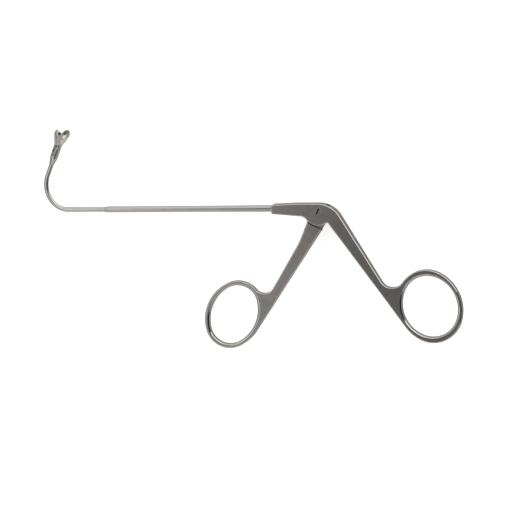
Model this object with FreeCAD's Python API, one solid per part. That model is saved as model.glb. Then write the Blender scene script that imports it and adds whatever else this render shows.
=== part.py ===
import FreeCAD, Part
import math
import os

# Cup biopsy forceps with a tubular shaft, a curved tip and ring handles.
# X runs along the shaft with the jaws at -X, Y points away from the rings, Z up off the table.
# The origin is on the pivot screw's axis, in the back face of the head. Millimetres and degrees.

V = FreeCAD.Vector
UP = V(0, 0, 1)

# Head of the rear handle
head_thickness = 6.0
nose_x = -19.43
nose_top = 2.8
nose_bottom = -0.99
crown_x = -10.1
crown_y = 3.18
bend_x = -0.1
bend_radius = 10.58
belly_x = -5.7
belly_y = -2.14
lobe_radius = 5.95
slot_width = 2.6
slot_front_x = -11.0
slot_back_x = 4.6
edge_round = 0.5
nose_round = 0.8
belly_round = 3.0
inner_corner_round = 0.7

# Rear shank and thumb ring
rear_inner_angle = -54.37
rear_inner_offset = 0.51
rear_outer_angle = -58.79
crook_round = 5.2
shank_root = 3.0
thumb_reach = 59.5
thumb_hole_long = 12.73
thumb_hole_short = 11.38
thumb_wall_long = 2.69
thumb_wall_short = 1.84
thumb_lean = 113.3

# Front shank and finger ring
front_inner_angle = -123.93
front_outer_angle = -121.2
front_neck_angle = -114.3
front_knee_x = -8.44
front_knee_y = -13.16
front_crook_round = 4.4
knee_round = 30.0
shoulder_gap = 0.42
shoulder_arc_end = -109.2
shoulder_slope = -24.0
shoulder_thickness = 5.4
front_inner_offset = 5.18
finger_reach = 56.33
finger_hole_long = 12.42
finger_hole_short = 9.49
finger_wall_long = 1.84
finger_wall_short = 2.1
finger_lean = 64.8
ring_thickness = 3.8
hole_round = 1.0
taper_start = 7.0
taper_blend = 120.0

# Tang of the front handle, pivot screw and pull link
tang_side_play = 0.1
hub_radius = 2.4
hub_gap = 0.2
tang_root_radius = 3.1
tang_root_depth = 3.0
web_shoulder_x = 1.05
web_shoulder_y = -8.2
web_cheek_x = 2.5
web_cheek_y = -5.6
web_heel_x = 2.3
web_heel_y = -1.0
web_hollow = 0.3
hub_core_radius = 1.65
screw_radius = 1.1
screw_end_z = 0.5
screw_head_radius = 1.75
screw_head_depth = 1.1
driver_slot_length = 2.6
driver_slot_width = 0.45
driver_slot_depth = 0.8
driver_slot_lean = 64.0
pivot_play = 0.05
lever_radius = 3.3
handle_travel = 16.0
link_thickness = 0.9
link_side_play = 0.06
link_half_width = 0.85
link_eye_radius = 1.05
link_room = 0.12
lever_pin_radius = 0.6
rod_pin_radius = 0.5
pin_play = 0.05
rod_pin_x = -8.5

# Shaft, drive rod and the bend
shaft_y = 1.065
shaft_rear_radius = 1.4
shaft_radius = 1.28
shaft_bore_radius = 0.8
shaft_seat_x = -12.5
shaft_cone_rear_x = -25.96
shaft_cone_front_x = -51.4
shaft_end_x = -89.44
shaft_end_cone = 1.5
neck_radius = 1.0
neck_bore_radius = 0.7
neck_overlap = 12.0
neck_straight = 14.95
bend_one_radius = 8.47
bend_one_turn = 51.64
bend_two_radius = 11.3
bend_two_turn = 59.02
tip_straight = 12.53
rod_radius = 0.5
rod_end_height = 2.2
rod_end_reach = 1.2
rod_end_tail = 1.7
rod_setback = 7.4
collar_radius = 0.66
collar_length = 5.0
wire_radius = 0.42
wire_gap = 0.1
bush_bore_play = 0.06

# Jaw housing and jaws
plane_turn = 19.5
jaw_open = 29.0
housing_radius = 1.66
housing_length = 5.0
housing_cone = 2.7
ear_radius = 1.35
ear_slot_width = 2.0
ear_slot_length = 4.0
tube_socket = 2.3
guide_bore_radius = 0.75
jaw_pin_radius = 0.4
jaw_pin_play = 0.03
cam_pin_radius = 0.25
cam_play = 0.03
cam_distance_open = 1.6
tail_thickness = 0.6
tail_play = 0.05
tail_wall = 0.34
tail_hub_radius = 1.1
tongue_half_thickness = 0.28
tongue_half_height = 0.58
tongue_length = 4.6
tongue_nose = 0.5
wire_grip = 1.6
ferrule_radius = 0.58
ferrule_length = 2.0
cup_heel = 1.62
neck_bite = 0.6
cup_heel_radius = 1.4
cup_widest = 6.3
cup_radius = 1.78
cup_tip = 8.65
cup_hollow_centre = 5.95
cup_hollow_half_length = 2.2
cup_hollow_radius = 1.33
cup_face_gap = 0.03
cup_fullness = 0.1

cut_room = 2.0
mid_z = head_thickness / 2
tang_half = slot_width / 2 - tang_side_play
slot_top_y = hub_radius + hub_gap
slide_travel = 2 * lever_radius * math.sin(math.radians(handle_travel / 2))
lever_angle = -90 - handle_travel / 2
bend_start_x = shaft_end_x - neck_straight
rod_front_x = shaft_end_x + rod_setback


def polar(radius, angle):
    """Point at a distance and an angle from the origin, in the XY plane."""
    return V(radius * math.cos(math.radians(angle)), radius * math.sin(math.radians(angle)), 0)


def prism(wire, bottom, height):
    """Extrudes a flat outline upwards from a height."""
    solid = Part.Face(wire).extrude(V(0, 0, height))
    solid.translate(V(0, 0, bottom))
    return solid


def polygon(points):
    return Part.makePolygon(points + [points[0]])


def box(low, high):
    return Part.makeBox(high.x - low.x, high.y - low.y, high.z - low.z, low)


def hull_plate(centre_a, radius_a, centre_b, radius_b, bottom, height):
    """Plate shaped as a belt round two circles."""
    across = centre_b - centre_a
    distance = across.Length
    axis = math.degrees(math.atan2(across.y, across.x))
    lean = math.degrees(math.acos((radius_a - radius_b) / distance))
    corners = [
        centre_a + polar(radius_a, axis + lean),
        centre_a + polar(radius_a, axis - lean),
        centre_b + polar(radius_b, axis - lean),
        centre_b + polar(radius_b, axis + lean),
    ]
    plate = prism(polygon(corners), bottom, height)
    round_a = Part.makeCylinder(radius_a, height, centre_a + V(0, 0, bottom))
    round_b = Part.makeCylinder(radius_b, height, centre_b + V(0, 0, bottom))
    return plate.fuse([round_a, round_b]).removeSplitter()


def arc_edge(centre, radius, first, last):
    """Arc about a centre, between two angles in the XY plane."""
    ends = [centre + polar(radius, angle) for angle in (first, (first + last) / 2, last)]
    return Part.Arc(*ends).toShape()


def oval_radii(half_long, half_short):
    """Radii of the ends and the flatter sides of a four-arc oval."""
    diagonal = math.hypot(half_long, half_short)
    excess = half_long - half_short
    end = diagonal * (diagonal - excess) / (2 * half_long)
    side = diagonal * (diagonal + excess) / (2 * half_short)
    return end, side


def oval_wire(centre, half_long, half_short, lean):
    """Oval of four tangent arcs, its long axis at a lean."""
    end, side = oval_radii(half_long, half_short)
    joint = math.degrees(math.atan2(side - half_short, half_long - end))
    arcs = []
    for turn in (0, 180):
        arcs.append(arc_edge(polar(half_long - end, turn), end, turn - joint, turn + joint))
        arcs.append(arc_edge(polar(side - half_short, turn - 90), side, turn + joint, turn + 180 - joint))
    wire = Part.Wire(arcs)
    wire.rotate(V(0, 0, 0), UP, lean)
    wire.translate(centre)
    return wire


def half_oval(centre_x, half_long, half_short, last):
    """Arcs of an oval on the X axis, from its +X end over its side to an angle of 90 or 180."""
    end, side = oval_radii(half_long, half_short)
    joint = math.degrees(math.atan2(side - half_short, half_long - end))
    side_centre = V(centre_x, half_short - side, 0)
    arcs = [
        arc_edge(V(centre_x + half_long - end, 0, 0), end, 0, joint),
        arc_edge(side_centre, side, joint, min(last, 180 - joint)),
    ]
    if last == 180:
        arcs.append(arc_edge(V(centre_x - half_long + end, 0, 0), end, 180 - joint, 180))
    return arcs


def oval_touch(half_long, half_short, lean, normal):
    """From an oval's centre to its point where the outward normal has the given angle."""
    end, side = oval_radii(half_long, half_short)
    end_offset = half_long - end
    side_offset = side - half_short
    way = polar(1, normal - lean)
    if abs(way.y) * end_offset < abs(way.x) * side_offset:
        along = end * way.x + math.copysign(end_offset, way.x)
        across = end * way.y
    else:
        along = side * way.x
        across = side * way.y - math.copysign(side_offset, way.y)
    return polar(along, lean) + polar(across, lean + 90)


def first_cross(point, angle, outline):
    """First point where a line, run on from a point at an angle, meets an outline."""
    line = Part.LineSegment(point, point + polar(full_reach, angle)).toShape()
    crossings = [vertex.Point for vertex in line.section(outline).Vertexes]
    return min(crossings, key=lambda found: (found - point).Length)


def upright_edges(shape, point, reach=0.5):
    """Vertical edges that stand within reach of a point of the outline."""
    found = []
    for edge in shape.Edges:
        ends = [vertex.Point for vertex in edge.Vertexes]
        if len(ends) != 2 or abs(ends[0].x - ends[1].x) > 0.001 or abs(ends[0].y - ends[1].y) > 0.001:
            continue
        if V(ends[0].x - point.x, ends[0].y - point.y, 0).Length < reach:
            found.append(edge)
    return found


def rim_edges(shape, wanted):
    """Edges between an upright wall and a top or bottom face, where wanted(middle) holds."""
    found = []
    for edge in shape.Edges:
        middle = edge.valueAt((edge.FirstParameter + edge.LastParameter) / 2)
        slopes = []
        for face in shape.ancestorsOfType(edge, Part.Face):
            u, v = face.Surface.parameter(middle)
            slopes.append(abs(face.normalAt(u, v).z))
        if len(slopes) == 2 and min(slopes) < 0.1 and max(slopes) > 0.9 and wanted(middle):
            found.append(edge)
    return found


def blended_run(points, radius):
    """Edges of a run through points, with tangent arcs in place of its inner corners."""
    edges = []
    start = points[0]
    for before, corner, after in zip(points, points[1:], points[2:]):
        way_in = (corner - before).normalize()
        way_out = (after - corner).normalize()
        half_turn = way_in.getAngle(way_out) / 2
        tangent = radius * math.tan(half_turn)
        inward = (way_out - way_in).normalize()
        middle = corner + inward * (radius / math.cos(half_turn) - radius)
        edges.append(Part.LineSegment(start, corner - way_in * tangent).toShape())
        start = corner + way_out * tangent
        edges.append(Part.Arc(corner - way_in * tangent, middle, start).toShape())
    edges.append(Part.LineSegment(start, points[-1]).toShape())
    return edges


def thickness_envelope(direction, root_thickness, taper_end):
    """Side profile of a shank: even over the head, thinning to the ring, even over the ring."""
    half_root = root_thickness / 2
    half_ring = ring_thickness / 2
    upper = [
        V(-full_reach, 0, half_root),
        V(taper_start, 0, half_root),
        V(taper_end, 0, half_ring),
        V(full_reach, 0, half_ring),
    ]
    lower = [V(point.x, 0, -point.z) for point in reversed(upper)]
    edges = blended_run(upper, taper_blend)
    edges.append(Part.LineSegment(upper[-1], lower[0]).toShape())
    edges += blended_run(lower, taper_blend)
    edges.append(Part.LineSegment(lower[-1], upper[0]).toShape())
    profile = Part.Face(Part.Wire(edges))
    profile.translate(V(0, -full_reach, mid_z))
    solid = profile.extrude(V(0, 2 * full_reach, 0))
    solid.rotate(V(0, 0, 0), UP, direction)
    return solid


def line_meet(point_a, angle_a, point_b, angle_b):
    """Where two lines, each given by a point and an angle, cross."""
    along_a = polar(1, angle_a)
    along_b = polar(1, angle_b)
    gap = point_b - point_a
    cross = along_a.x * along_b.y - along_a.y * along_b.x
    return point_a + along_a * ((gap.x * along_b.y - gap.y * along_b.x) / cross)


# Rear handle: head, shank and thumb ring in one forging
full_reach = 2 * thumb_reach
thumb_outer = (thumb_hole_long + thumb_wall_long, thumb_hole_short + thumb_wall_short)
rear_touch = polar(rear_inner_offset, rear_inner_angle + 90) + polar(thumb_reach, rear_inner_angle)
thumb_centre = rear_touch - oval_touch(*thumb_outer, thumb_lean, rear_inner_angle - 90)
thumb_rim = oval_wire(thumb_centre, *thumb_outer, thumb_lean)
bend_centre = V(bend_x, crown_y - bend_radius, 0)
bend_end = bend_centre + polar(bend_radius, rear_outer_angle + 90)
rear_crook = first_cross(bend_end, rear_outer_angle, thumb_rim)
rear_outer_end = rear_crook + polar(shank_root, rear_outer_angle)


# Front handle: tang, shank and finger ring
finger_outer = (finger_hole_long + finger_wall_long, finger_hole_short + finger_wall_short)
front_touch = polar(front_inner_offset, front_inner_angle + 90) + polar(finger_reach, front_inner_angle)
finger_centre = front_touch - oval_touch(*finger_outer, finger_lean, front_inner_angle + 90)
finger_rim = oval_wire(finger_centre, *finger_outer, finger_lean)
front_knee = V(front_knee_x, front_knee_y, 0)
front_crook = first_cross(front_knee, front_outer_angle, finger_rim)
shoulder_radius = lobe_radius + shoulder_gap

# Pins of the pull link, with the handle open
rod_pin = V(rod_pin_x, shaft_y, 0)
lever_pin = polar(lever_radius, lever_angle)

# The bend: two arcs in one plane, then the straight tip
bend_one_start = V(bend_start_x, shaft_y, mid_z)
bend_one_centre = bend_one_start + V(0, bend_one_radius, 0)
bend_one_end = bend_one_centre + polar(bend_one_radius, 270 - bend_one_turn)
bend_two_centre = bend_one_end + polar(bend_two_radius, 90 - bend_one_turn)
bend_two_end = bend_two_centre + polar(bend_two_radius, 270 - bend_one_turn - bend_two_turn)
tip_angle = 180 - bend_one_turn - bend_two_turn
tip_axis = polar(1, tip_angle)
jaw_pivot = bend_two_end + tip_axis * tip_straight

# Tip frame: X along the tip, Y along the jaw pivot pin, Z the way the jaws open
opening_way = FreeCAD.Rotation(tip_axis, -plane_turn).multVec(UP)
pin_axis = opening_way.cross(tip_axis)
tip_turn = FreeCAD.Rotation(tip_axis, pin_axis, opening_way, "XZY")
tip_place = FreeCAD.Placement(jaw_pivot, tip_turn)


def make_rear_handle():
    # Outline of head and shank, with the inner edge run on into the lobe
    lobe_circle = Part.makeCircle(lobe_radius)
    inner_corner = first_cross(rear_touch, rear_inner_angle + 180, lobe_circle)
    lobe_inside = inner_corner + polar(lobe_radius / 2, rear_inner_angle + 180)
    bend_middle = (90 + rear_outer_angle + 90) / 2
    edges = [
        Part.LineSegment(V(nose_x, nose_bottom, 0), V(nose_x, nose_top, 0)).toShape(),
        Part.LineSegment(V(nose_x, nose_top, 0), V(crown_x, crown_y, 0)).toShape(),
        Part.LineSegment(V(crown_x, crown_y, 0), V(bend_x, crown_y, 0)).toShape(),
        Part.Arc(V(bend_x, crown_y, 0), bend_centre + polar(bend_radius, bend_middle), bend_end).toShape(),
        Part.LineSegment(bend_end, rear_outer_end).toShape(),
        Part.LineSegment(rear_outer_end, thumb_centre).toShape(),
        Part.LineSegment(thumb_centre, rear_touch).toShape(),
        Part.LineSegment(rear_touch, lobe_inside).toShape(),
        Part.LineSegment(lobe_inside, V(belly_x, belly_y, 0)).toShape(),
        Part.LineSegment(V(belly_x, belly_y, 0), V(nose_x, nose_bottom, 0)).toShape(),
    ]
    plate = prism(Part.Wire(edges), 0, head_thickness)
    lobe = Part.makeCylinder(lobe_radius, head_thickness, V(0, 0, 0), UP, 180)
    lobe.rotate(V(0, 0, 0), UP, 180)
    ring = prism(thumb_rim, 0, head_thickness)
    body = plate.fuse([lobe, ring]).removeSplitter()

    # Corners of the outline, rounded before its rim
    belly_angle = math.degrees(math.atan2(belly_y - nose_bottom, belly_x - nose_x))
    belly_corner = first_cross(V(nose_x, nose_bottom, 0), belly_angle, lobe_circle)
    rounds = [
        (V(nose_x, nose_top, 0), nose_round),
        (V(nose_x, nose_bottom, 0), nose_round),
        (belly_corner, belly_round),
        (inner_corner, inner_corner_round),
        (rear_crook, crook_round),
    ]
    for point, radius in rounds:
        body = body.makeFillet(radius, upright_edges(body, point))
    shank_way = (rear_inner_angle + rear_outer_angle) / 2
    body = body.common(thickness_envelope(shank_way, head_thickness, rear_crook.Length - crook_round))
    body = body.makeFillet(edge_round, rim_edges(body, lambda middle: True))

    # Ring hole, nose bore, box-lock slot and the seat of the screw
    body = cut_ring_hole(body, thumb_centre, thumb_hole_long, thumb_hole_short, thumb_lean)
    slot = box(
        V(slot_front_x, -lobe_radius - cut_room, mid_z - slot_width / 2),
        V(slot_back_x, slot_top_y, mid_z + slot_width / 2),
    )
    nose_bore = Part.makeCylinder(
        shaft_rear_radius, slot_front_x - nose_x + 1, V(nose_x - 1, shaft_y, mid_z), V(1, 0, 0)
    )
    screw_hole = Part.makeCylinder(screw_radius, head_thickness, V(0, 0, screw_end_z))
    seat_z = head_thickness - screw_head_depth
    screw_seat = Part.makeCylinder(screw_head_radius, screw_head_depth + 1, V(0, 0, seat_z))
    return body.cut([slot, nose_bore, screw_hole, screw_seat])


def cut_ring_hole(body, centre, half_long, half_short, lean):
    """Opens a ring's hole and rounds its edges."""
    hole = prism(oval_wire(centre, half_long, half_short, lean), -cut_room, head_thickness + 2 * cut_room)
    body = body.cut(hole)

    def on_hole(middle):
        return V(middle.x - centre.x, middle.y - centre.y, 0).Length < half_long + 0.05

    return body.makeFillet(hole_round, rim_edges(body, on_hole))


def shoulder_reach(point, angle):
    """Distance back along a line to the shoulder's circle round the pivot."""
    back = polar(1, angle + 180)
    along = point.dot(back)
    return -along - math.sqrt(along ** 2 - point.Length ** 2 + shoulder_radius ** 2)


def make_front_handle():
    # Shank and ring outline below the shoulder
    neck_top = front_knee + polar(shoulder_reach(front_knee, front_neck_angle), front_neck_angle + 180)
    arc_start = math.degrees(math.atan2(neck_top.y, neck_top.x))
    arc_middle = polar(shoulder_radius, (arc_start + shoulder_arc_end) / 2)
    arc_end = polar(shoulder_radius, shoulder_arc_end)
    shoulder_right = line_meet(front_touch, front_inner_angle, arc_end, shoulder_slope)
    outer_end = front_crook + polar(shank_root, front_outer_angle)
    edges = [
        Part.LineSegment(outer_end, front_knee).toShape(),
        Part.LineSegment(front_knee, neck_top).toShape(),
        Part.Arc(neck_top, arc_middle, arc_end).toShape(),
        Part.LineSegment(arc_end, shoulder_right).toShape(),
        Part.LineSegment(shoulder_right, front_touch).toShape(),
        Part.LineSegment(front_touch, finger_centre).toShape(),
        Part.LineSegment(finger_centre, outer_end).toShape(),
    ]
    plate = prism(Part.Wire(edges), 0, shoulder_thickness)
    ring = prism(finger_rim, 0, shoulder_thickness)
    body = plate.fuse(ring).removeSplitter()
    rounds = [
        (front_knee, knee_round),
        (front_crook, front_crook_round),
    ]
    for point, radius in rounds:
        body = body.makeFillet(radius, upright_edges(body, point))
    body.translate(V(0, 0, mid_z - shoulder_thickness / 2))
    shank_way = (front_inner_angle + front_outer_angle) / 2
    taper_end = front_crook.Length - front_crook_round
    body = body.common(thickness_envelope(shank_way, shoulder_thickness, taper_end))

    def off_shoulder(middle):
        return V(middle.x, middle.y, 0).Length > shoulder_right.Length

    body = body.makeFillet(edge_round, rim_edges(body, off_shoulder))
    body = cut_ring_hole(body, finger_centre, finger_hole_long, finger_hole_short, finger_lean)

    # Tang that turns in the head's slot, grooved along its middle for the pull link
    root = (neck_top + shoulder_right) / 2 + polar(tang_root_depth, front_outer_angle)
    tang = hull_plate(V(0, 0, 0), hub_radius, root, tang_root_radius, mid_z - tang_half, 2 * tang_half)
    tang = tang.fuse(tang_web(root))
    groove_half = link_thickness / 2 + link_side_play
    groove = link_room_solid(mid_z - groove_half, 2 * groove_half)
    core = Part.makeCylinder(hub_core_radius, 2 * groove_half, V(0, 0, mid_z - groove_half))
    body = body.fuse(tang).cut(groove.cut(core))
    pivot_bore = Part.makeCylinder(screw_radius + pivot_play, head_thickness)
    lever_bore = Part.makeCylinder(lever_pin_radius, head_thickness, lever_pin)
    return body.cut([pivot_bore, lever_bore]).removeSplitter()


def tang_web(root):
    """Web on the tang's rear side, hollowed from the shoulder to the head's cheek."""
    shoulder = V(web_shoulder_x, web_shoulder_y, 0)
    cheek = V(web_cheek_x, web_cheek_y, 0)
    heel = V(web_heel_x, web_heel_y, 0)
    middle = (shoulder + cheek) / 2
    middle += middle * (-web_hollow / middle.Length)
    edges = [
        Part.Arc(shoulder, middle, cheek).toShape(),
        Part.LineSegment(cheek, heel).toShape(),
        Part.LineSegment(heel, V(0, 0, 0)).toShape(),
        Part.LineSegment(V(0, 0, 0), root).toShape(),
        Part.LineSegment(root, shoulder).toShape(),
    ]
    return prism(Part.Wire(edges), mid_z - tang_half, 2 * tang_half)


def link_room_solid(bottom, height):
    """Space that the pull link sweeps in the tang while the handle closes."""
    across = rod_pin - lever_pin
    steps = 4
    room = None
    for step in range(steps + 1):
        turned = FreeCAD.Rotation(UP, -handle_travel * step / steps).multVec(across)
        width = link_half_width + link_room
        eye = link_eye_radius + link_room
        plate = hull_plate(lever_pin, eye, lever_pin + turned, width, bottom, height)
        room = plate if room is None else room.fuse(plate)
    return room


def make_lever_pin():
    return Part.makeCylinder(lever_pin_radius, 2 * tang_half, lever_pin + V(0, 0, mid_z - tang_half))


def make_pull_link():
    bottom = mid_z - link_thickness / 2
    plate = hull_plate(lever_pin, link_eye_radius, rod_pin, link_eye_radius, bottom, link_thickness)
    across = rod_pin - lever_pin
    axis = math.degrees(math.atan2(across.y, across.x))
    waist = box(
        V(link_eye_radius, -link_half_width, bottom),
        V(across.Length - link_eye_radius, link_half_width, bottom + link_thickness),
    )
    flanks = box(
        V(link_eye_radius, -link_eye_radius, bottom),
        V(across.Length - link_eye_radius, link_eye_radius, bottom + link_thickness),
    ).cut(waist)
    flanks.rotate(V(0, 0, 0), UP, axis)
    flanks.translate(lever_pin)
    lever_eye = Part.makeCylinder(lever_pin_radius + pin_play, link_thickness, lever_pin + V(0, 0, bottom))
    rod_eye = Part.makeCylinder(rod_pin_radius, link_thickness, rod_pin + V(0, 0, bottom))
    return plate.cut([flanks, lever_eye, rod_eye])


def make_rod_end():
    low = V(rod_pin_x - rod_end_tail, shaft_y - rod_end_height / 2, mid_z - tang_half)
    high = V(rod_pin_x + rod_end_reach, shaft_y + rod_end_height / 2, mid_z + tang_half)
    block = box(low, high)
    fork_half = link_thickness / 2 + link_side_play
    fork_start = rod_pin_x - link_eye_radius - link_room
    fork = box(V(fork_start, low.y - 1, mid_z - fork_half), V(high.x + 1, high.y + 1, mid_z + fork_half))
    pin_hole = Part.makeCylinder(rod_pin_radius, head_thickness, rod_pin)
    return block.cut([fork, pin_hole])


def make_rod_pin():
    return Part.makeCylinder(rod_pin_radius, 2 * tang_half, rod_pin + V(0, 0, mid_z - tang_half))


def make_drive_rod():
    front = rod_front_x
    back = rod_pin_x - rod_end_tail
    return Part.makeCylinder(rod_radius, back - front, V(front, shaft_y, mid_z), V(1, 0, 0))


def make_rod_collar():
    """Crimped sleeve that joins the rod to the flexible wire."""
    start = V(rod_front_x - collar_length / 2, shaft_y, mid_z)
    sleeve = Part.makeCylinder(collar_radius, collar_length, start, V(1, 0, 0))
    rod_half = Part.makeCylinder(rod_radius, collar_length, V(rod_front_x, shaft_y, mid_z), V(1, 0, 0))
    wire_half = Part.makeCylinder(wire_radius, collar_length, V(rod_front_x, shaft_y, mid_z), V(-1, 0, 0))
    return sleeve.cut([rod_half, wire_half])


def make_straight_wire():
    end = bend_start_x + wire_gap / 2
    return Part.makeCylinder(wire_radius, rod_front_x - end, V(end, shaft_y, mid_z), V(1, 0, 0))


def arc_bar(centre, radius, start_angle, turn, section):
    """Round bar along an arc in the plane of the bend, clockwise from an angle."""
    start = centre + polar(radius, start_angle)
    circle = Part.Face(Part.Wire(Part.makeCircle(section, start, polar(1, start_angle - 90))))
    return circle.revolve(centre, V(0, 0, -1), turn)


def make_lower_wire():
    trim = math.degrees(wire_gap / 2 / bend_one_radius)
    return arc_bar(bend_one_centre, bend_one_radius, 270 - trim, bend_one_turn - 2 * trim, wire_radius)


def make_upper_wire():
    trim = math.degrees(wire_gap / 2 / bend_two_radius)
    start = 270 - bend_one_turn - trim
    return arc_bar(bend_two_centre, bend_two_radius, start, bend_two_turn - 2 * trim, wire_radius)


def neck_core(section, lead, tail):
    """Solid core of the curved tube: straight lead, two arcs and the straight tip."""
    straight = Part.makeCylinder(section, lead, bend_one_start, V(1, 0, 0))
    lower = arc_bar(bend_one_centre, bend_one_radius, 270, bend_one_turn, section)
    upper = arc_bar(bend_two_centre, bend_two_radius, 270 - bend_one_turn, bend_two_turn, section)
    tip = Part.makeCylinder(section, tail, bend_two_end, tip_axis)
    return straight.fuse([lower, upper, tip]).removeSplitter()


def make_curved_tube():
    lead = shaft_end_x + neck_overlap - bend_start_x
    tail = tip_straight - housing_length - housing_cone + tube_socket
    return neck_core(neck_radius, lead, tail).cut(neck_core(neck_bore_radius, lead + 1, tail + 1))


def make_shaft_tube():
    profile = [
        V(shaft_end_x, neck_radius, 0),
        V(shaft_end_x + shaft_end_cone, shaft_radius, 0),
        V(shaft_cone_front_x, shaft_radius, 0),
        V(shaft_cone_rear_x, shaft_rear_radius, 0),
        V(shaft_seat_x, shaft_rear_radius, 0),
        V(shaft_seat_x, shaft_bore_radius, 0),
        V(shaft_end_x + neck_overlap, shaft_bore_radius, 0),
        V(shaft_end_x + neck_overlap, neck_radius, 0),
    ]
    tube = Part.Face(polygon(profile)).revolve(V(0, 0, 0), V(1, 0, 0), 360)
    tube.translate(V(0, shaft_y, mid_z))
    return tube


def make_guide_bush():
    length = slot_front_x - shaft_seat_x
    place = V(shaft_seat_x, shaft_y, mid_z)
    bush = Part.makeCylinder(shaft_rear_radius, length, place, V(1, 0, 0))
    return bush.cut(Part.makeCylinder(rod_radius + bush_bore_play, length, place, V(1, 0, 0)))


def make_pivot_screw():
    shank = Part.makeCylinder(screw_radius, head_thickness - screw_end_z, V(0, 0, screw_end_z))
    head = Part.makeCylinder(screw_head_radius, screw_head_depth, V(0, 0, head_thickness - screw_head_depth))
    end = polar((driver_slot_length - driver_slot_width) / 2, driver_slot_lean)
    half_width = driver_slot_width / 2
    floor = head_thickness - driver_slot_depth
    driver = hull_plate(end, half_width, V(0, 0, 0) - end, half_width, floor, driver_slot_depth + 1)
    return shank.fuse(head).cut(driver).removeSplitter()


def tip_cylinder(radius, length, start):
    """Cylinder along the jaw pin's axis, in the tip frame, centred across the housing."""
    return Part.makeCylinder(radius, length, start - V(0, length / 2, 0), V(0, 1, 0))


def tip_plate(centre_a, radius_a, centre_b, radius_b, low_y, thickness):
    """Belt-shaped plate in the plane of the jaws' travel, from a height along the pin."""
    plate = hull_plate(centre_a, radius_a, centre_b, radius_b, 0, thickness)
    plate.rotate(V(0, 0, 0), V(1, 0, 0), 90)
    plate.translate(V(0, low_y + thickness, 0))
    return plate


def make_jaw_housing():
    back = -housing_length - housing_cone
    profile = [
        V(back, neck_radius + 0.05, 0),
        V(-housing_length, housing_radius, 0),
        V(ear_radius, housing_radius, 0),
        V(ear_radius, 0, 0),
        V(back, 0, 0),
    ]
    body = Part.Face(polygon(profile)).revolve(V(0, 0, 0), V(1, 0, 0), 360)
    wide = 2 * housing_radius
    behind = box(V(back - 1, -wide, -wide), V(0, wide, wide))
    body = body.common(behind.fuse(tip_cylinder(ear_radius, 2 * wide, V(0, 0, 0))))
    half_slot = ear_slot_width / 2
    slot = box(V(-ear_slot_length, -half_slot, -wide), V(wide, half_slot, wide))
    socket = Part.makeCylinder(neck_radius, tube_socket + 1, V(back - 1, 0, 0), V(1, 0, 0))
    guide = Part.makeCylinder(guide_bore_radius, -back, V(back, 0, 0), V(1, 0, 0))
    pin_hole = tip_cylinder(jaw_pin_radius, 2 * wide, V(0, 0, 0))
    return body.cut([slot, socket, guide, pin_hole])


def make_jaw_pin():
    pin = tip_cylinder(jaw_pin_radius, 4 * housing_radius, V(0, 0, 0))
    barrel = Part.makeCylinder(housing_radius, 2 * ear_radius, V(-ear_radius, 0, 0), V(1, 0, 0))
    return pin.common(barrel)


def cam_point(closing):
    """Centre of the cam pin in a jaw's own closed frame, as the handle closes from 0 to 1."""
    distance = cam_distance_open + slide_travel * closing
    angle = math.radians(jaw_open * (1 - closing))
    return V(-distance * math.cos(angle), distance * math.sin(angle), 0)


def make_jaw():
    """Near jaw, closed: cup above the tip axis, tail on the pin's positive side."""
    flank = V((cup_heel + cup_widest) / 2, (cup_heel_radius + cup_radius) / 2 + cup_fullness, 0)
    outline = [
        Part.LineSegment(V(cup_heel, 0, 0), V(cup_heel, cup_heel_radius, 0)).toShape(),
        Part.Arc(V(cup_heel, cup_heel_radius, 0), flank, V(cup_widest, cup_radius, 0)).toShape(),
    ]
    outline += half_oval(cup_widest, cup_tip - cup_widest, cup_radius, 90)
    outline.append(Part.LineSegment(V(cup_tip, 0, 0), V(cup_heel, 0, 0)).toShape())
    cup = Part.Face(Part.Wire(Part.__sortEdges__(outline))).revolve(V(0, 0, 0), V(1, 0, 0), 360)
    reach = cup_tip + 1
    upper = box(V(0, -reach, cup_face_gap / 2), V(reach, reach, reach))
    cup = cup.common(upper)
    bowl_edges = half_oval(cup_hollow_centre, cup_hollow_half_length, cup_hollow_radius, 180)
    bowl_front = V(cup_hollow_centre + cup_hollow_half_length, 0, 0)
    bowl_back = V(cup_hollow_centre - cup_hollow_half_length, 0, 0)
    bowl_edges.append(Part.LineSegment(bowl_back, bowl_front).toShape())
    bowl = Part.Face(Part.Wire(bowl_edges)).revolve(V(0, 0, 0), V(1, 0, 0), 360)

    # Tail: hub on the jaw pin, arm round the cam slot, neck into the cup's heel
    low_y = tongue_half_thickness + tail_play
    open_point = cam_point(0)
    shut_point = cam_point(1)
    slot_half = cam_pin_radius + cam_play
    arm = slot_half + tail_wall
    centre = V(0, 0, 0)
    tail = tip_plate(centre, tail_hub_radius, open_point, arm, low_y, tail_thickness)
    tail = tail.fuse(tip_plate(centre, tail_hub_radius, shut_point, arm, low_y, tail_thickness))
    tail = tail.fuse(tip_plate(cam_point(0.5), arm, shut_point, arm * 0.99, low_y, tail_thickness))
    neck = box(
        V(0, low_y, cup_face_gap / 2),
        V(cup_heel + neck_bite, low_y + tail_thickness, tail_hub_radius),
    )
    jaw = cup.cut(bowl).fuse([tail, neck]).cut(cam_slot(slot_half, low_y))
    return jaw.cut(tip_cylinder(jaw_pin_radius + jaw_pin_play, 4 * housing_radius, centre)).removeSplitter()


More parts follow.
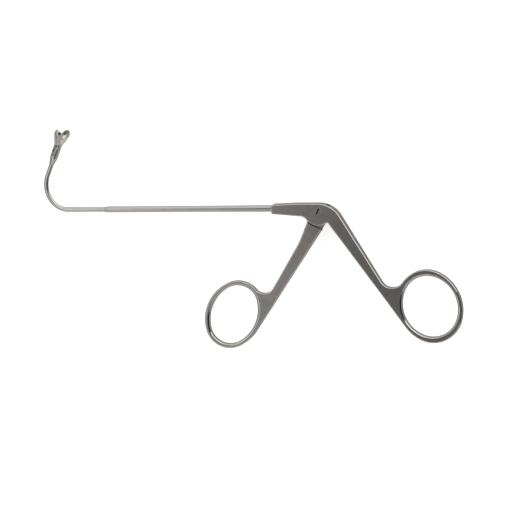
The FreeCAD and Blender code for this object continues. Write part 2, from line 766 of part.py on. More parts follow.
def cam_slot(half_width, low_y):
    """Curved slot that turns the jaw as the cam pin slides."""
    first = cam_point(0)
    middle = cam_point(0.5)
    last = cam_point(1)
    arc = Part.Arc(first, middle, last).toShape().Curve
    centre = arc.Center
    radius = arc.Radius
    edges = []
    for offset in (half_width, -half_width):
        ends = [centre + (point - centre) * ((radius + offset) / radius) for point in (first, middle, last)]
        edges.append(Part.Arc(*ends).toShape())
    wire = Part.makeRuledSurface(edges[0], edges[1])
    slot = wire.extrude(V(0, 0, tail_thickness))
    for point in (first, last):
        slot = slot.fuse(Part.makeCylinder(half_width, tail_thickness, point))
    slot.rotate(V(0, 0, 0), V(1, 0, 0), 90)
    slot.translate(V(0, low_y + tail_thickness, 0))
    return slot


def make_jaw_tongue():
    """Flat tongue that carries the cam pin, with the ferrule that grips the wire."""
    cam = V(-cam_distance_open, 0, 0)
    back = -cam_distance_open - tongue_length
    half = tongue_half_thickness
    plate = box(V(back, -half, -tongue_half_height), V(cam.x, half, tongue_half_height))
    nose = tip_cylinder(tongue_nose, 2 * half, cam)
    plate = plate.fuse(nose)
    hole = tip_cylinder(cam_pin_radius, 2, cam)
    ferrule = Part.makeCylinder(ferrule_radius, ferrule_length, V(back - ferrule_length, 0, 0), V(1, 0, 0))
    wire_hole = Part.makeCylinder(wire_radius, wire_grip, V(back - ferrule_length, 0, 0), V(1, 0, 0))
    return plate.fuse(ferrule).cut([hole, wire_hole]).removeSplitter()


def make_cam_pin():
    length = 2 * (tongue_half_thickness + tail_play + tail_thickness)
    return tip_cylinder(cam_pin_radius, length, V(-cam_distance_open, 0, 0))


def make_tip_wire():
    front = -cam_distance_open - tongue_length - ferrule_length + wire_grip
    back = -tip_straight + wire_gap / 2
    return Part.makeCylinder(wire_radius, front - back, V(back, 0, 0), V(1, 0, 0))


def at_tip(shape):
    placed = shape.copy()
    placed.Placement = tip_place.multiply(shape.Placement)
    return placed


def opened(jaw):
    """A jaw swung from closed to its open rest, towards the tip frame's +Z."""
    swung = jaw.copy()
    swung.rotate(V(0, 0, 0), V(0, 1, 0), -jaw_open)
    return swung


near_jaw = opened(make_jaw())
far_jaw = near_jaw.copy()
far_jaw.rotate(V(0, 0, 0), V(1, 0, 0), 180)

nodes = {
    "rear_handle": make_rear_handle(),
    "front_handle": make_front_handle(),
    "pivot_screw": make_pivot_screw(),
    "lever_pin": make_lever_pin(),
    "pull_link": make_pull_link(),
    "rod_pin": make_rod_pin(),
    "rod_end": make_rod_end(),
    "drive_rod": make_drive_rod(),
    "rod_guide_bush": make_guide_bush(),
    "rod_collar": make_rod_collar(),
    "wire_straight": make_straight_wire(),
    "wire_lower_bend": make_lower_wire(),
    "wire_upper_bend": make_upper_wire(),
    "shaft_tube": make_shaft_tube(),
    "curved_tube": make_curved_tube(),
    "jaw_housing": at_tip(make_jaw_housing()),
    "jaw_pivot_pin": at_tip(make_jaw_pin()),
    "jaw_tongue": at_tip(make_jaw_tongue()),
    "cam_pin": at_tip(make_cam_pin()),
    "wire_tip": at_tip(make_tip_wire()),
    "near_jaw": at_tip(near_jaw),
    "far_jaw": at_tip(far_jaw),
}

os.makedirs("parts", exist_ok=True)
for name, shape in nodes.items():
    print(name, "valid" if shape.isValid() else "INVALID", round(shape.Volume, 3), len(shape.Solids))
    shape.exportStep("parts/" + name + ".step")
print("slide travel", round(slide_travel, 4))
print("bend centres", bend_one_centre, bend_two_centre)
print("jaw pivot", jaw_pivot)
print("tip axis", tip_axis, "pin axis", pin_axis)
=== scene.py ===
import math

import bpy
from mathutils import Matrix, Vector


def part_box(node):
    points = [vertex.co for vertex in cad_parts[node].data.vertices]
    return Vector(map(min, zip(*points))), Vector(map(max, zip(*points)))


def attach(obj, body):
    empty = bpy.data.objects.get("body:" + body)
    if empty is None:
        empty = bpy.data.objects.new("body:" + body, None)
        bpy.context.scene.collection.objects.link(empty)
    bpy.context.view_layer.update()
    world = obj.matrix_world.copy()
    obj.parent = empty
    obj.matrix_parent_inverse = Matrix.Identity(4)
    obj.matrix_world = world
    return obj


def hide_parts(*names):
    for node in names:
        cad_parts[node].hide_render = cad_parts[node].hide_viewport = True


# Ring-handled cup biopsy forceps on white paper, seen from nearly straight above
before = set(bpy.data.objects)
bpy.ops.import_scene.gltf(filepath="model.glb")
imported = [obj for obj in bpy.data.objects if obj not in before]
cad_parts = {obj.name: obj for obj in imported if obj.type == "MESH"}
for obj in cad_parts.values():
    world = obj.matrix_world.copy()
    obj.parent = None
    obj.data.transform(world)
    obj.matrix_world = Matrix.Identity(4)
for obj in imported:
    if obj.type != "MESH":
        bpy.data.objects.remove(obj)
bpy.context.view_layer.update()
scene = bpy.context.scene
scene.view_settings.view_transform = "Standard"
mm = 0.001        # metres in a millimetre
perMetre = 1000   # millimetres in a metre, for patterns sized in mm
print("frame loaded:", len(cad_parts), "nodes")

# sockets of a Mix node that have no name of their own
numberA, numberB = 2, 3
colourA, colourB, colourOut = 6, 7, 2


def deselectAll():
    if bpy.context.object and bpy.context.object.mode != "OBJECT":
        bpy.ops.object.mode_set(mode="OBJECT")
    bpy.ops.object.select_all(action="DESELECT")


def hexToLinear(code):
    # sRGB's own curve
    parts = [int(code[i:i + 2], 16) / 255 for i in (1, 3, 5)]
    linear = [p / 12.92 if p <= 0.04045 else ((p + 0.055) / 1.055) ** 2.4 for p in parts]
    return (*linear, 1)


def grey(level):
    return (level, level, level, 1)


def addNode(tree, kind, inputs=None, **settings):
    node = tree.nodes.new(kind)
    for name, value in settings.items():
        setattr(node, name, value)
    for socket, value in (inputs or {}).items():
        if isinstance(value, bpy.types.NodeSocket):
            tree.links.new(value, node.inputs[socket])
        else:
            node.inputs[socket].default_value = value
    return node


def setRamp(node, stops):
    ramp = node.color_ramp
    while len(ramp.elements) < len(stops):
        ramp.elements.new(0.5)
    for element, (place, colour) in zip(ramp.elements, stops):
        element.position = place
        element.color = colour


def newMaterial(name):
    material = bpy.data.materials.new(name)
    material.use_nodes = True
    material.node_tree.nodes.clear()
    return material, material.node_tree


# camera: leans towards the upper right, so that the steel's right and top sides show
cameraSetup = {
    "centre": (-26.65, -18.53),   # mm, what lies at the middle of the picture
    "midHeight": 3,               # mm
    "distance": 8000,             # mm, far off and with a long lens
    "pictureWidth": 209.92,       # mm seen across the picture
    "sensor": 36,                 # mm
    "nearest": 1,                 # metres, where its sight begins
    "furthest": 20,               # metres, where it ends
    "lean": 12.4,                 # degrees off the upright
    "leanTowards": 31.4,          # degrees from +X towards +Y
    "turn": -0.905,               # degrees about the view
}


def placeCamera():
    s = cameraSetup
    data = bpy.data.cameras.new("studioCamera")
    camera = bpy.data.objects.new("studioCamera", data)
    scene.collection.objects.link(camera)
    data.sensor_width = s["sensor"]
    data.lens = s["sensor"] * s["distance"] / s["pictureWidth"]
    data.clip_start = s["nearest"]
    data.clip_end = s["furthest"]
    towards = math.radians(s["leanTowards"])
    leanAxis = Vector((-math.sin(towards), math.cos(towards), 0))
    lean = Matrix.Rotation(math.radians(s["lean"]), 3, leanAxis)
    turn = lean @ Matrix.Rotation(math.radians(s["turn"]), 3, "Z")
    centre = Vector((*s["centre"], s["midHeight"])) * mm
    camera.location = centre + turn @ Vector((0, 0, s["distance"] * mm))
    camera.rotation_euler = turn.to_euler()
    scene.camera = camera
    print("camera placed, lens", round(data.lens), "mm")


placeCamera()

# plain white paper, just under the lowest jaw
floorSetup = {
    "top": -1.8, "size": 4000,           # mm
    "paper": "#c4c4c4",
    "glow": 0.72, "glowInSteel": 0.08,   # added to the lit paper, for the camera and for the steel
}


def makeFloor():
    s = floorSetup
    deselectAll()
    bpy.ops.mesh.primitive_plane_add(size=s["size"] * mm, location=(0, 0, s["top"] * mm))
    floor = bpy.context.object
    floor.name = "paperFloor"
    material, tree = newMaterial("whitePaper")
    # the paper is white to the camera and pale in the steel, and keeps the object's shadow
    path = addNode(tree, "ShaderNodeLightPath")
    fromSteel = addNode(tree, "ShaderNodeMath", {
        0: path.outputs["Is Glossy Ray"], 1: path.outputs["Is Transmission Ray"]}, operation="MAXIMUM")
    steelGlow = addNode(tree, "ShaderNodeMath", {
        0: fromSteel.outputs[0], 1: s["glowInSteel"]}, operation="MULTIPLY")
    cameraGlow = addNode(tree, "ShaderNodeMath", {
        0: path.outputs["Is Camera Ray"], 1: s["glow"]}, operation="MULTIPLY")
    glow = addNode(tree, "ShaderNodeMath", {
        0: cameraGlow.outputs[0], 1: steelGlow.outputs[0]}, operation="MAXIMUM")
    paper = addNode(tree, "ShaderNodeBsdfDiffuse", {"Color": hexToLinear(s["paper"])})
    light = addNode(tree, "ShaderNodeEmission", {"Strength": glow.outputs[0]})
    both = addNode(tree, "ShaderNodeAddShader", {0: paper.outputs[0], 1: light.outputs[0]})
    addNode(tree, "ShaderNodeOutputMaterial", {"Surface": both.outputs[0]})
    floor.data.materials.append(material)


makeFloor()
print("paper laid")

# a tent with a pale roof, and walls that change with the angle from +X towards +Y
worldSetup = {
    "roof": "#eceae8",
    "roofEdge": 0.90, "wallTop": 0.72,   # cosines of the angle from straight up
    "walls": [                           # degrees, brightness
        (-180, 0.42), (-150, 0.42), (-120, 0.5), (-90, 0.7), (-62, 0.55), (-10, 0.45), (12, 0.6),
        (24, 1.6), (72, 1.6),            # a bright box at the back right
        (92, 1.0), (125, 0.8), (155, 0.45), (180, 0.42)],
    "toCamera": "#ffffff",
}


def makeWorld():
    s = worldSetup
    world = bpy.data.worlds.new("studio")
    scene.world = world
    world.use_nodes = True
    tree = world.node_tree
    tree.nodes.clear()
    coords = addNode(tree, "ShaderNodeTexCoord")
    way = addNode(tree, "ShaderNodeSeparateXYZ", {0: coords.outputs["Generated"]})
    angle = addNode(tree, "ShaderNodeMath", {
        0: way.outputs["Y"], 1: way.outputs["X"]}, operation="ARCTAN2")
    around = addNode(tree, "ShaderNodeMapRange", {
        "Value": angle.outputs[0], "From Min": -math.pi, "From Max": math.pi})
    walls = addNode(tree, "ShaderNodeValToRGB", {0: around.outputs[0]})
    setRamp(walls, [((degrees + 180) / 360, grey(bright)) for degrees, bright in s["walls"]])
    roofPart = addNode(tree, "ShaderNodeMapRange", {
        "Value": way.outputs["Z"], "From Min": s["wallTop"], "From Max": s["roofEdge"]},
        interpolation_type="SMOOTHSTEP")
    tent = addNode(tree, "ShaderNodeMix", {
        "Factor": roofPart.outputs[0], colourA: walls.outputs["Color"], colourB: hexToLinear(s["roof"])},
        data_type="RGBA")
    path = addNode(tree, "ShaderNodeLightPath")
    seen = addNode(tree, "ShaderNodeMix", {
        "Factor": path.outputs["Is Camera Ray"], colourA: tent.outputs[colourOut],
        colourB: hexToLinear(s["toCamera"])}, data_type="RGBA")
    sky = addNode(tree, "ShaderNodeBackground", {"Color": seen.outputs[colourOut]})
    addNode(tree, "ShaderNodeOutputWorld", {"Surface": sky.outputs[0]})


makeWorld()

# a graded card over the work, bright at the jaws' end, and a black one beside the thumb ring
overCard = {
    "centre": (-50, -5, 300), "size": (420, 330),   # mm
    "turn": 0,                                      # degrees about Y
    "strength": 1.0,
    "stops": [                                      # mm in X, brightness
        (-260, 1.25), (-160, 1.2), (-145, 0.9), (-130, 0.72), (-110, 0.45), (-90, 0.27), (-60, 0.175),
        (-24, 0.115), (160, 0.08)],
}
sideCard = {
    "centre": (250, -57, 250), "size": (500, 235),
    "turn": 90,
    "strength": 0.015,
}


def gradeLight(tree, light, stops):
    start, end = stops[0][0], stops[-1][0]
    coords = addNode(tree, "ShaderNodeTexCoord")
    place = addNode(tree, "ShaderNodeSeparateXYZ", {0: coords.outputs["Object"]})
    along = addNode(tree, "ShaderNodeMapRange", {
        "Value": place.outputs["X"], "From Min": start * mm, "From Max": end * mm})
    ramp = addNode(tree, "ShaderNodeValToRGB", {0: along.outputs[0]})
    setRamp(ramp, [((x - start) / (end - start), grey(bright)) for x, bright in stops])
    tree.links.new(ramp.outputs["Color"], light.inputs["Color"])


def makeCard(name, setup):
    deselectAll()
    bpy.ops.mesh.primitive_plane_add(
        size=1, location=Vector(setup["centre"]) * mm, rotation=(0, math.radians(setup["turn"]), 0))
    card = bpy.context.object
    card.name = name
    card.scale = (*(length * mm for length in setup["size"]), 1)
    bpy.ops.object.transform_apply(location=True, rotation=True, scale=True)
    # only the steel sees a card
    card.visible_camera = False
    card.visible_diffuse = False
    card.visible_shadow = False
    material, tree = newMaterial(name)
    light = addNode(tree, "ShaderNodeEmission", {"Strength": setup["strength"]})
    if "stops" in setup:
        gradeLight(tree, light, setup["stops"])
    addNode(tree, "ShaderNodeOutputMaterial", {"Surface": light.outputs[0]})
    card.data.materials.append(material)


makeCard("overCard", overCard)
makeCard("sideCard", sideCard)
print("tent and cards up")

# the main light, from the jaws' side, so that the shadow falls to the right
lampSetup = {
    "place": (-800, 150, 700), "aim": (-30, -10, 0),   # mm
    "size": (600, 600),                                # mm
    "power": 6,                                        # watts
}


def hangLamp():
    s = lampSetup
    data = bpy.data.lights.new("boxLeft", "AREA")
    data.shape = "RECTANGLE"
    data.size = s["size"][0] * mm
    data.size_y = s["size"][1] * mm
    data.energy = s["power"]
    lamp = bpy.data.objects.new("boxLeft", data)
    lamp.location = Vector(s["place"]) * mm
    lamp.rotation_euler = (Vector(s["aim"]) - Vector(s["place"])).to_track_quat("-Z", "Y").to_euler()
    lamp.visible_glossy = False   # it lights the paper and casts the shadow; the cards shape the steel
    scene.collection.objects.link(lamp)


hangLamp()
print("lamp hung")


# finishes: toneSpan is the stretch of the pattern's value that runs from dark to light,
# roughness its lowest and highest, bump the depth of the marks in mm
def darkToLight(finish, dark="dark", light="light"):
    low, high = finish["toneSpan"]
    return [(low, hexToLinear(finish[dark])), (high, hexToLinear(finish[light]))]


def finishSteel(tree, inputs):
    shader = addNode(tree, "ShaderNodeBsdfPrincipled", inputs)
    addNode(tree, "ShaderNodeOutputMaterial", {"Surface": shader.outputs["BSDF"]})


handleFinish = {
    "dark": "#bfbab6", "light": "#cbc6c2",            # stainless under a satin belt, slightly warm
    "shadedWallDark": "#8f8a87", "shadedWallLight": "#a19c99",    # sides painted darker than the flats, as painted shade
    "toneSpan": (0.30, 0.70),
    "lineWidth": 0.22, "lineLength": 7.0,             # mm; a 320 grit line is 0.05, drawn coarser to show
    "lineDetail": 3.0, "lineBreakUp": 0.6,
    "blotch": 9.0,                                    # mm
    "blotchDetail": 2.0, "blotchShare": 0.4,
    "flatFrom": 0.95, "flatFull": 0.995,              # how upright a face is where the belt touches it
    "wallFrom": 0.35, "wallFull": 0.05,               # and where it counts as a side
    "flatRoughness": 0.25, "flatSwing": 0.1,
    "edgeRoughness": 0.12, "wallRoughness": 0.5,
    "bump": 0.002, "bumpStrength": 0.5,
    "rearBelt": 35, "frontBelt": -30,                 # degrees from +X, the way the belt ran
}


def makeHandleSteel(name, beltAngle):
    # 420 stainless, drop forged, flats brushed on a satin belt and edges polished on a wheel:
    # fine even lines across the shank on the flats, mirror-like rounds, and duller sides whose darker
    # colour is painted shade
    f = handleFinish
    material, tree = newMaterial(name)
    coords = addNode(tree, "ShaderNodeTexCoord")
    inMm = addNode(tree, "ShaderNodeMapping", {
        "Vector": coords.outputs["Object"], "Scale": (perMetre,) * 3,
        "Rotation": (0, 0, math.radians(-beltAngle))})
    lineScale = (1 / f["lineLength"], 1 / f["lineWidth"], 1 / f["lineWidth"])
    stretched = addNode(tree, "ShaderNodeMapping", {"Vector": inMm.outputs[0], "Scale": lineScale})
    lines = addNode(tree, "ShaderNodeTexNoise", {
        "Vector": stretched.outputs[0], "Scale": 1.0, "Detail": f["lineDetail"],
        "Roughness": f["lineBreakUp"]})
    blotches = addNode(tree, "ShaderNodeTexNoise", {
        "Vector": inMm.outputs[0], "Scale": 1 / f["blotch"], "Detail": f["blotchDetail"]})
    tone = addNode(tree, "ShaderNodeMix", {
        "Factor": f["blotchShare"], numberA: lines.outputs["Fac"], numberB: blotches.outputs["Fac"]})
    # where the face lies flat and where it is a side
    facing = addNode(tree, "ShaderNodeSeparateXYZ", {0: coords.outputs["Normal"]})
    upright = addNode(tree, "ShaderNodeMath", {0: facing.outputs["Z"]}, operation="ABSOLUTE")
    flat = addNode(tree, "ShaderNodeMapRange", {
        "Value": upright.outputs[0], "From Min": f["flatFrom"], "From Max": f["flatFull"]},
        interpolation_type="SMOOTHSTEP")
    side = addNode(tree, "ShaderNodeMapRange", {
        "Value": upright.outputs[0], "From Min": f["wallFrom"], "From Max": f["wallFull"]},
        interpolation_type="SMOOTHSTEP")
    colour = addNode(tree, "ShaderNodeValToRGB", {0: tone.outputs[0]})
    setRamp(colour, darkToLight(f))
    # painted shade: the sides take a darker colour than the flats
    wall = addNode(tree, "ShaderNodeValToRGB", {0: tone.outputs[0]})
    setRamp(wall, darkToLight(f, "shadedWallDark", "shadedWallLight"))
    skin = addNode(tree, "ShaderNodeMix", {
        "Factor": side.outputs[0], colourA: colour.outputs["Color"], colourB: wall.outputs["Color"]},
        data_type="RGBA")
    # the belt's lines swing the flats' roughness evenly about its middle
    grain = addNode(tree, "ShaderNodeMath", {
        0: lines.outputs["Fac"], 1: f["flatSwing"]}, operation="MULTIPLY")
    satin = addNode(tree, "ShaderNodeMath", {
        0: grain.outputs[0], 1: f["flatRoughness"] - f["flatSwing"] / 2}, operation="ADD")
    sides = addNode(tree, "ShaderNodeMix", {
        "Factor": side.outputs[0], numberA: f["edgeRoughness"], numberB: f["wallRoughness"]})
    rough = addNode(tree, "ShaderNodeMix", {
        "Factor": flat.outputs[0], numberA: sides.outputs[0], numberB: satin.outputs[0]})
    depth = addNode(tree, "ShaderNodeMath", {
        0: flat.outputs[0], 1: lines.outputs["Fac"]}, operation="MULTIPLY")
    bump = addNode(tree, "ShaderNodeBump", {
        "Height": depth.outputs[0], "Strength": f["bumpStrength"], "Distance": f["bump"] * mm})
    finishSteel(tree, {
        "Base Color": skin.outputs[colourOut], "Metallic": 1.0, "Roughness": rough.outputs[0],
        "Normal": bump.outputs[0]})
    return material


tubeFinish = {
    "dark": "#bcb8b5", "light": "#cbc7c4",
    "toneSpan": (0.35, 0.65),
    "lineWidth": 0.12, "lineLength": 18.0,   # mm; real draw lines are 0.02, drawn coarser to show
    "bentMarks": 1400,                       # marks to the metre on the bent tube, the same all ways
    "detail": 2.0,
    "roughness": (0.18, 0.28),
    "bump": 0.0015, "bumpStrength": 0.4,
}


def makeTubeSteel(name, straight):
    # 304 stainless tube, cold drawn and polished: bright, with faint lines along the straight tube
    # and a faint mottle where it was drawn thinner and bent
    f = tubeFinish
    material, tree = newMaterial(name)
    scale = (f["bentMarks"],) * 3
    if straight:
        scale = (perMetre / f["lineLength"], perMetre / f["lineWidth"], perMetre / f["lineWidth"])
    coords = addNode(tree, "ShaderNodeTexCoord")
    stretched = addNode(tree, "ShaderNodeMapping", {"Vector": coords.outputs["Object"], "Scale": scale})
    lines = addNode(tree, "ShaderNodeTexNoise", {
        "Vector": stretched.outputs[0], "Scale": 1.0, "Detail": f["detail"]})
    colour = addNode(tree, "ShaderNodeValToRGB", {0: lines.outputs["Fac"]})
    setRamp(colour, darkToLight(f))
    smoothest, roughest = f["roughness"]
    rough = addNode(tree, "ShaderNodeMapRange", {
        "Value": lines.outputs["Fac"], "To Min": smoothest, "To Max": roughest})
    bump = addNode(tree, "ShaderNodeBump", {
        "Height": lines.outputs["Fac"], "Strength": f["bumpStrength"], "Distance": f["bump"] * mm})
    finishSteel(tree, {
        "Base Color": colour.outputs["Color"], "Metallic": 1.0, "Roughness": rough.outputs[0],
        "Normal": bump.outputs[0]})
    return material


jawFinish = {
    "dark": "#b3afac", "light": "#d2cecb",
    "toneSpan": (0.35, 0.65),
    "mark": 0.5,   # mm
    "detail": 3.0, "breakUp": 0.55,
    "roughness": (0.04, 0.15),
    "bump": 0.003, "bumpStrength": 0.5,
}


def makeJawSteel(name):
    # 17-4 stainless, milled and electropolished: mirror bright with soft leftover tool marks
    f = jawFinish
    material, tree = newMaterial(name)
    coords = addNode(tree, "ShaderNodeTexCoord")
    inMm = addNode(tree, "ShaderNodeMapping", {
        "Vector": coords.outputs["Object"], "Scale": (perMetre,) * 3})
    marks = addNode(tree, "ShaderNodeTexNoise", {
        "Vector": inMm.outputs[0], "Scale": 1 / f["mark"], "Detail": f["detail"],
        "Roughness": f["breakUp"]})
    colour = addNode(tree, "ShaderNodeValToRGB", {0: marks.outputs["Fac"]})
    setRamp(colour, darkToLight(f))
    smoothest, roughest = f["roughness"]
    rough = addNode(tree, "ShaderNodeMapRange", {
        "Value": marks.outputs["Fac"], "To Min": smoothest, "To Max": roughest})
    bump = addNode(tree, "ShaderNodeBump", {
        "Height": marks.outputs["Fac"], "Strength": f["bumpStrength"], "Distance": f["bump"] * mm})
    finishSteel(tree, {
        "Base Color": colour.outputs["Color"], "Metallic": 1.0, "Roughness": rough.outputs[0],
        "Normal": bump.outputs[0]})
    return material


screwFinish = {
    # the near-black colour is painted shade in the slot
    "dark": "#b5afaa", "light": "#cac4bf", "slotShade": "#0d0c0b",
    "toneSpan": (0.0, 1.0),
    "ringSpacing": 0.316,                    # mm; a facing cut leaves 0.1, drawn coarser to show
    "ringWaver": 0.4, "ringDetail": 1.0,
    "roughness": (0.22, 0.35),
    "bump": 0.004, "bumpStrength": 0.4,
    "slotShadeFrom": 0.01, "slotShadeFull": 0.03,    # mm under the head's face, where the painted shade begins and is full
}
waveRadians = 20   # a Wave texture of scale 1 turns by this much over one unit


def makeScrewSteel(name):
    # free-cutting stainless, faced on a lathe: fine rings about the screw's axis, and painted shade, near
    # black, in the slot and on all below the head's face
    f = screwFinish
    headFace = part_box("pivot_screw")[1][2] / mm
    material, tree = newMaterial(name)
    coords = addNode(tree, "ShaderNodeTexCoord")
    inMm = addNode(tree, "ShaderNodeMapping", {
        "Vector": coords.outputs["Object"], "Scale": (perMetre,) * 3})
    rings = addNode(tree, "ShaderNodeTexWave", {
        "Vector": inMm.outputs[0], "Scale": math.tau / waveRadians / f["ringSpacing"],
        "Distortion": f["ringWaver"], "Detail": f["ringDetail"]},
        wave_type="RINGS", rings_direction="Z")
    colour = addNode(tree, "ShaderNodeValToRGB", {0: rings.outputs["Fac"]})
    setRamp(colour, darkToLight(f))
    place = addNode(tree, "ShaderNodeSeparateXYZ", {0: inMm.outputs[0]})
    # painted shade: below the head's face the screw turns near black and not metallic
    clean = addNode(tree, "ShaderNodeMapRange", {
        "Value": place.outputs["Z"], "From Min": headFace - f["slotShadeFull"],
        "From Max": headFace - f["slotShadeFrom"]})
    skin = addNode(tree, "ShaderNodeMix", {
        "Factor": clean.outputs[0], colourA: hexToLinear(f["slotShade"]), colourB: colour.outputs["Color"]},
        data_type="RGBA")
    smoothest, roughest = f["roughness"]
    rough = addNode(tree, "ShaderNodeMapRange", {
        "Value": rings.outputs["Fac"], "To Min": smoothest, "To Max": roughest})
    bump = addNode(tree, "ShaderNodeBump", {
        "Height": rings.outputs["Fac"], "Strength": f["bumpStrength"], "Distance": f["bump"] * mm})
    finishSteel(tree, {
        "Base Color": skin.outputs[colourOut], "Metallic": clean.outputs[0],
        "Roughness": rough.outputs[0], "Normal": bump.outputs[0]})
    return material


linkageFinish = {
    "dark": "#7d7975", "light": "#99948f",
    "toneSpan": (0.3, 0.7),
    "markWidth": 0.3, "markLength": 5.0,   # mm
    "detail": 2.0,
    "roughness": (0.32, 0.46),
}


def makeLinkageSteel(name):
    # ground stainless of the link, pins and rod, left as machined: grinding lines, duller than what shows
    f = linkageFinish
    material, tree = newMaterial(name)
    coords = addNode(tree, "ShaderNodeTexCoord")
    markScale = (perMetre / f["markLength"], perMetre / f["markWidth"], perMetre / f["markWidth"])
    stretched = addNode(tree, "ShaderNodeMapping", {
        "Vector": coords.outputs["Object"], "Scale": markScale})
    marks = addNode(tree, "ShaderNodeTexNoise", {
        "Vector": stretched.outputs[0], "Scale": 1.0, "Detail": f["detail"]})
    colour = addNode(tree, "ShaderNodeValToRGB", {0: marks.outputs["Fac"]})
    setRamp(colour, darkToLight(f))
    smoothest, roughest = f["roughness"]
    rough = addNode(tree, "ShaderNodeMapRange", {
        "Value": marks.outputs["Fac"], "To Min": smoothest, "To Max": roughest})
    finishSteel(tree, {
        "Base Color": colour.outputs["Color"], "Metallic": 1.0, "Roughness": rough.outputs[0]})
    return material


wireFinish = {
    "dark": "#a09a94", "light": "#bdb8b2",
    "toneSpan": (0.3, 0.7),
    "mark": 0.25,   # mm
    "detail": 2.0,
    "roughness": (0.17, 0.30),
}


def makeWireSteel(name):
    # 302 spring wire: drawn hard and bright, with a faint mottle
    f = wireFinish
    material, tree = newMaterial(name)
    coords = addNode(tree, "ShaderNodeTexCoord")
    inMarks = addNode(tree, "ShaderNodeMapping", {
        "Vector": coords.outputs["Object"], "Scale": (perMetre / f["mark"],) * 3})
    marks = addNode(tree, "ShaderNodeTexNoise", {
        "Vector": inMarks.outputs[0], "Scale": 1.0, "Detail": f["detail"]})
    colour = addNode(tree, "ShaderNodeValToRGB", {0: marks.outputs["Fac"]})
    setRamp(colour, darkToLight(f))
    smoothest, roughest = f["roughness"]
    rough = addNode(tree, "ShaderNodeMapRange", {
        "Value": marks.outputs["Fac"], "To Min": smoothest, "To Max": roughest})
    finishSteel(tree, {
        "Base Color": colour.outputs["Color"], "Metallic": 1.0, "Roughness": rough.outputs[0]})
    return material


jawSteel = makeJawSteel("electropolishedTip")
screwSteel = makeScrewSteel("turnedScrew")
linkageSteel = makeLinkageSteel("groundLinkage")
wireSteel = makeWireSteel("springWire")

# the link, pins, rod and other hidden pieces take the linkage's steel
finishOfNode = {
    "rear_handle": makeHandleSteel("satinForgedRear", handleFinish["rearBelt"]),
    "front_handle": makeHandleSteel("satinForgedFront", handleFinish["frontBelt"]),
    "shaft_tube": makeTubeSteel("drawnShaftTube", True),
    "curved_tube": makeTubeSteel("drawnNeckTube", False),
    "jaw_housing": jawSteel,
    "jaw_pivot_pin": jawSteel,
    "near_jaw": jawSteel,
    "far_jaw": jawSteel,
    "jaw_tongue": jawSteel,
    "cam_pin": jawSteel,
    "wire_straight": wireSteel,
    "wire_lower_bend": wireSteel,
    "wire_upper_bend": wireSteel,
    "wire_tip": wireSteel,
}
for name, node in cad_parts.items():
    for materialSlot in node.material_slots:
        materialSlot.material = finishOfNode.get(name, linkageSteel)
print("finishes set")

# the pivot screw, with a broken rim and a wide driver slot with rounded ends
screwSetup = {
    "headRadius": 1.75, "headDepth": 1.1, "shankRadius": 1.1,   # mm
    "slotLength": 2.7, "slotWidth": 0.62, "slotDepth": 0.8,     # mm
    "slotLean": 64,               # degrees from +X towards +Y
    "slotEndRound": 0.45,         # share of the slot's width
    "slotEndSteps": 6,
    "rim": 0.03, "rimSteps": 2,   # mm, and faces across it
    "sides": 96,
    "smoothUnder": 20,            # degrees, what turns less than this is shaded smooth
}
endFacing = 0.9   # a face whose normal is this near to the axis is one of the screw's ends


def pickFaces(piece, wanted):
    bpy.ops.object.mode_set(mode="EDIT")
    bpy.ops.mesh.select_mode(type="FACE")
    bpy.ops.mesh.select_all(action="DESELECT")
    bpy.ops.object.mode_set(mode="OBJECT")
    for face in piece.data.polygons:
        face.select = wanted(face)
    bpy.ops.object.mode_set(mode="EDIT")


def pickUprightEdges(piece, shortest):
    bpy.ops.object.mode_set(mode="EDIT")
    bpy.ops.mesh.select_all(action="DESELECT")
    bpy.ops.object.mode_set(mode="OBJECT")
    for edge in piece.data.edges:
        one, two = (piece.data.vertices[i].co for i in edge.vertices)
        edge.select = abs(one.z - two.z) > shortest
    bpy.ops.object.mode_set(mode="EDIT")


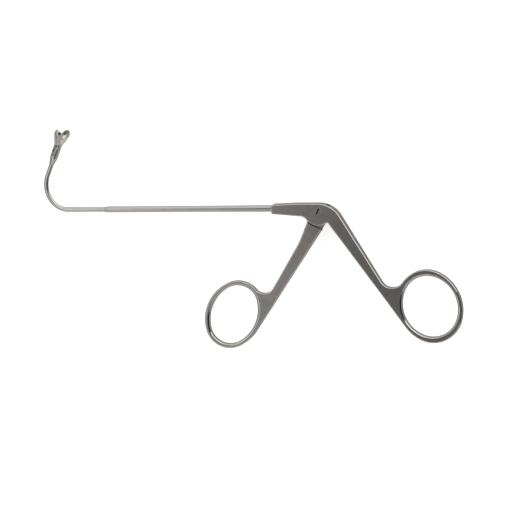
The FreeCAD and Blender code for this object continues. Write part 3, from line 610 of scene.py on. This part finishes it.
def makeSlotCutter(headFace):
    # a block with rounded ends, half of it above the head
    s = screwSetup
    deselectAll()
    bpy.ops.mesh.primitive_cube_add(size=1, location=(0, 0, headFace))
    cutter = bpy.context.object
    cutter.scale = (s["slotLength"] * mm, s["slotWidth"] * mm, 2 * s["slotDepth"] * mm)
    cutter.rotation_euler = (0, 0, math.radians(s["slotLean"]))
    bpy.ops.object.transform_apply(location=True, rotation=True, scale=True)
    pickUprightEdges(cutter, s["slotDepth"] * mm)
    bpy.ops.mesh.bevel(
        offset=s["slotWidth"] * mm * s["slotEndRound"], segments=s["slotEndSteps"], affect="EDGES")
    deselectAll()
    return cutter


def makeScrew():
    s = screwSetup
    low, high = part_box("pivot_screw")
    deselectAll()
    bpy.ops.mesh.primitive_cylinder_add(
        vertices=s["sides"], radius=s["headRadius"] * mm, depth=s["headDepth"] * mm,
        location=(0, 0, high[2] - s["headDepth"] * mm / 2))
    screw = bpy.context.object
    screw.name = "pivotScrewSlotted"
    # shank: the underside is inset to its radius and drawn down to the screw's end
    pickFaces(screw, lambda face: face.normal.z < -endFacing)
    bpy.ops.mesh.inset(thickness=(s["headRadius"] - s["shankRadius"]) * mm, depth=0)
    bpy.ops.mesh.extrude_region_move(
        TRANSFORM_OT_translate={"value": (0, 0, low[2] - high[2] + s["headDepth"] * mm)})
    # broken rim of the head and of the shank's end, the only faces with more than four corners
    pickFaces(screw, lambda face: abs(face.normal.z) > endFacing and len(face.vertices) > 4)
    bpy.ops.mesh.region_to_loop()
    bpy.ops.mesh.bevel(offset=s["rim"] * mm, segments=s["rimSteps"], affect="EDGES")
    # slot, taken out of the head
    cutter = makeSlotCutter(high[2])
    bpy.context.view_layer.objects.active = screw
    screw.select_set(True)
    cut = screw.modifiers.new("slot", "BOOLEAN")
    cut.operation = "DIFFERENCE"
    cut.solver = "EXACT"
    cut.object = cutter
    bpy.ops.object.modifier_apply(modifier="slot")
    bpy.data.objects.remove(cutter)
    bpy.ops.object.transform_apply(location=True, rotation=True, scale=True)
    bpy.ops.object.shade_smooth_by_angle(angle=math.radians(s["smoothUnder"]))
    screw.data.materials.append(screwSteel)
    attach(screw, "root")
    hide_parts("pivot_screw")
    print("screw made,", len(screw.data.polygons), "faces")


makeScrew()
